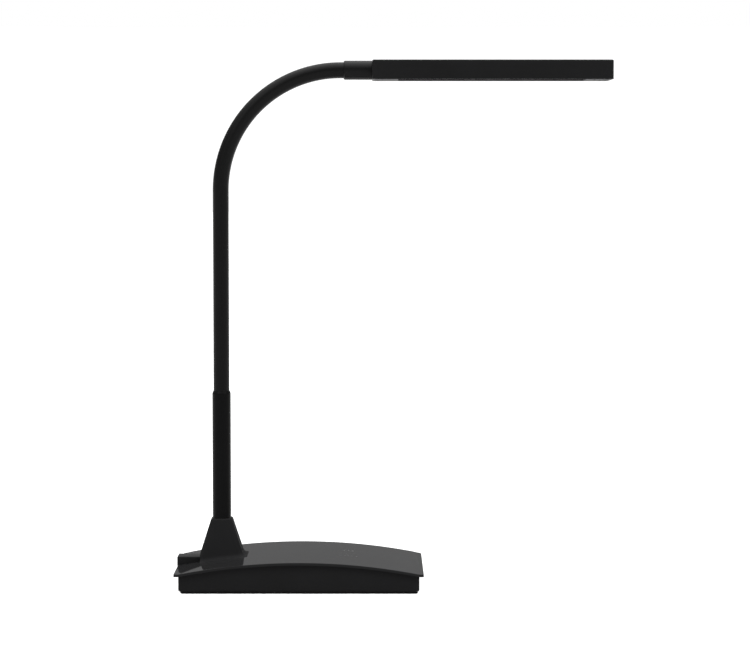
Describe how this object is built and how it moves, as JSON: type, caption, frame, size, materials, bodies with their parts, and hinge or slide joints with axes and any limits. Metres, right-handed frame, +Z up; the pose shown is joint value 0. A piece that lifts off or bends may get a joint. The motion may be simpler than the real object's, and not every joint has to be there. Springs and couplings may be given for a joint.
{
  "type": "gooseneck desk lamp",
  "caption": "Desk lamp with a weighted base, a straight post, a flexible gooseneck and a flat bar head that shines down.",
  "frame": {"origin": "centre of the base's underside", "axes": "+X from the post towards the head, +Y across the base, +Z up"},
  "size_m": [0.3264, 0.108, 0.3947],
  "materials": {
    "gloss_black": "moulded plastic, polished, black",
    "satin_black": "moulded plastic, fine satin, black",
    "bezel_black": "moulded plastic, semi-gloss, black",
    "mat_foam": "soft closed-cell foam, black",
    "post_paint": "fine matt paint on steel tube, black",
    "neck_skin": "smooth flexible sleeve, satin, black",
    "neck_steel": "wound steel wire, oiled",
    "ballast_iron": "plain steel plate",
    "screw_steel": "zinc-plated steel",
    "copper_pad": "copper foil",
    "board_green": "circuit board with solder mask",
    "component_black": "moulded component, black",
    "can_metal": "drawn can",
    "socket_metal": "plated sheet",
    "milky_diffuser": "translucent white, satin",
    "spreader_metal": "rolled sheet",
    "led_yellow": "phosphor over the light source"
  },
  "bodies": {
    "base": {"base_mat": "mat_foam", "base_tray": "satin_black", "base_cover": "gloss_black", "cover_screws": "screw_steel", "ballast_plate": "ballast_iron", "ballast_screws": "screw_steel", "touch_electrode": "copper_pad", "control_board": "board_green", "board_screws": "screw_steel", "touch_chip": "component_black", "smoothing_capacitor": "can_metal", "drive_coil": "component_black", "inlet_housing": "satin_black", "power_socket": "socket_metal", "socket_tongue": "component_black", "post_tube": "post_paint", "post_flange": "ballast_iron", "flange_screws": "screw_steel", "post_bracket": "satin_black", "bracket_screws": "screw_steel", "neck_ferrule": "neck_steel", "neck_sleeve_root": "neck_skin"},
    "neck_01": {"neck_core_01": "neck_steel", "neck_sleeve_01": "neck_skin"},
    "neck_02": {"neck_core_02": "neck_steel", "neck_sleeve_02": "neck_skin"},
    "neck_03": {"neck_core_03": "neck_steel", "neck_sleeve_03": "neck_skin"},
    "neck_04": {"neck_core_04": "neck_steel", "neck_sleeve_04": "neck_skin"},
    "neck_05": {"neck_core_05": "neck_steel", "neck_sleeve_05": "neck_skin"},
    "neck_06": {"neck_core_06": "neck_steel", "neck_sleeve_06": "neck_skin"},
    "neck_07": {"neck_core_07": "neck_steel", "neck_sleeve_07": "neck_skin"},
    "neck_08": {"neck_core_08": "neck_steel", "neck_sleeve_08": "neck_skin"},
    "neck_09": {"neck_core_09": "neck_steel", "neck_sleeve_09": "neck_skin"},
    "neck_10": {"neck_core_10": "neck_steel", "neck_sleeve_10": "neck_skin"},
    "neck_11": {"neck_core_11": "neck_steel", "neck_sleeve_11": "neck_skin"},
    "neck_12": {"neck_core_12": "neck_steel", "neck_sleeve_12": "neck_skin"},
    "neck_13": {"neck_core_13": "neck_steel", "neck_sleeve_13": "neck_skin"},
    "neck_14": {"neck_core_14": "neck_steel", "neck_sleeve_14": "neck_skin"},
    "head": {"neck_sleeve_end": "neck_skin", "head_stub": "neck_steel", "head_collar": "satin_black", "head_housing": "satin_black", "head_screws": "screw_steel", "head_bezel": "bezel_black", "diffuser": "milky_diffuser", "heat_spreader": "spreader_metal", "led_board": "board_green", "led_chips": "led_yellow"}
  },
  "joints": [
    {"name": "lower_bend", "type": "hinge", "parent": "base", "child": "neck_01", "pos_m": [-0.0596, 0, 0.1616], "axis": [0, 1, 0], "range_deg": [-8, 8]},
    {"name": "lower_sway", "type": "hinge", "parent": "neck_01", "child": "neck_02", "pos_m": [-0.0596, 0, 0.1767], "axis": [1, 0, 0], "range_deg": [-15, 15]},
    {"name": "lower_bend_2", "type": "hinge", "parent": "neck_02", "child": "neck_03", "pos_m": [-0.0596, 0, 0.1918], "axis": [0, 1, 0], "range_deg": [-8, 8]},
    {"name": "lower_bend_3", "type": "hinge", "parent": "neck_03", "child": "neck_04", "pos_m": [-0.0596, 0, 0.222], "axis": [0, 1, 0], "range_deg": [-8, 8]},
    {"name": "lower_bend_4", "type": "hinge", "parent": "neck_04", "child": "neck_05", "pos_m": [-0.0596, 0, 0.2522], "axis": [0, 1, 0], "range_deg": [-8, 8]},
    {"name": "lower_sway_2", "type": "hinge", "parent": "neck_05", "child": "neck_06", "pos_m": [-0.0596, 0, 0.2673], "axis": [1, 0, 0], "range_deg": [-15, 15]},
    {"name": "lower_bend_5", "type": "hinge", "parent": "neck_06", "child": "neck_07", "pos_m": [-0.0596, 0, 0.2824], "axis": [0, 1, 0], "range_deg": [-8, 8]},
    {"name": "upper_bend", "type": "hinge", "parent": "neck_07", "child": "neck_08", "pos_m": [-0.05883, 0, 0.30925], "axis": [0, 1, 0], "range_deg": [-15, 7.5]},
    {"name": "upper_sway", "type": "hinge", "parent": "neck_08", "child": "neck_09", "pos_m": [-0.05653, 0, 0.32079], "axis": [0.9659, 0, -0.2588], "range_deg": [-15, 15]},
    {"name": "upper_bend_2", "type": "hinge", "parent": "neck_09", "child": "neck_10", "pos_m": [-0.05275, 0, 0.33194], "axis": [0, 1, 0], "range_deg": [-15, 7.5]},
    {"name": "upper_bend_3", "type": "hinge", "parent": "neck_10", "child": "neck_11", "pos_m": [-0.041, 0, 0.35229], "axis": [0, 1, 0], "range_deg": [-15, 7.5]},
    {"name": "upper_bend_4", "type": "hinge", "parent": "neck_11", "child": "neck_12", "pos_m": [-0.02439, 0, 0.3689], "axis": [0, 1, 0], "range_deg": [-15, 7.5]},
    {"name": "upper_bend_5", "type": "hinge", "parent": "neck_12", "child": "neck_13", "pos_m": [-0.00404, 0, 0.38065], "axis": [0, 1, 0], "range_deg": [-15, 7.5]},
    {"name": "upper_sway_2", "type": "hinge", "parent": "neck_13", "child": "neck_14", "pos_m": [0.00711, 0, 0.38443], "axis": [0.2588, 0, -0.9659], "range_deg": [-15, 15]},
    {"name": "upper_bend_6", "type": "hinge", "parent": "neck_14", "child": "head", "pos_m": [0.01865, 0, 0.38673], "axis": [0, 1, 0], "range_deg": [-15, 7.5]}
  ],
  "couplings": [
    {"joint": "lower_bend_2", "follows": "lower_bend", "ratio": 1},
    {"joint": "lower_bend_3", "follows": "lower_bend", "ratio": 1},
    {"joint": "lower_bend_4", "follows": "lower_bend", "ratio": 1},
    {"joint": "lower_sway_2", "follows": "lower_sway", "ratio": 1},
    {"joint": "lower_bend_5", "follows": "lower_bend", "ratio": 1},
    {"joint": "upper_bend_2", "follows": "upper_bend", "ratio": 1},
    {"joint": "upper_bend_3", "follows": "upper_bend", "ratio": 1},
    {"joint": "upper_bend_4", "follows": "upper_bend", "ratio": 1},
    {"joint": "upper_bend_5", "follows": "upper_bend", "ratio": 1},
    {"joint": "upper_sway_2", "follows": "upper_sway", "ratio": 1},
    {"joint": "upper_bend_6", "follows": "upper_bend", "ratio": 1}
  ]
}
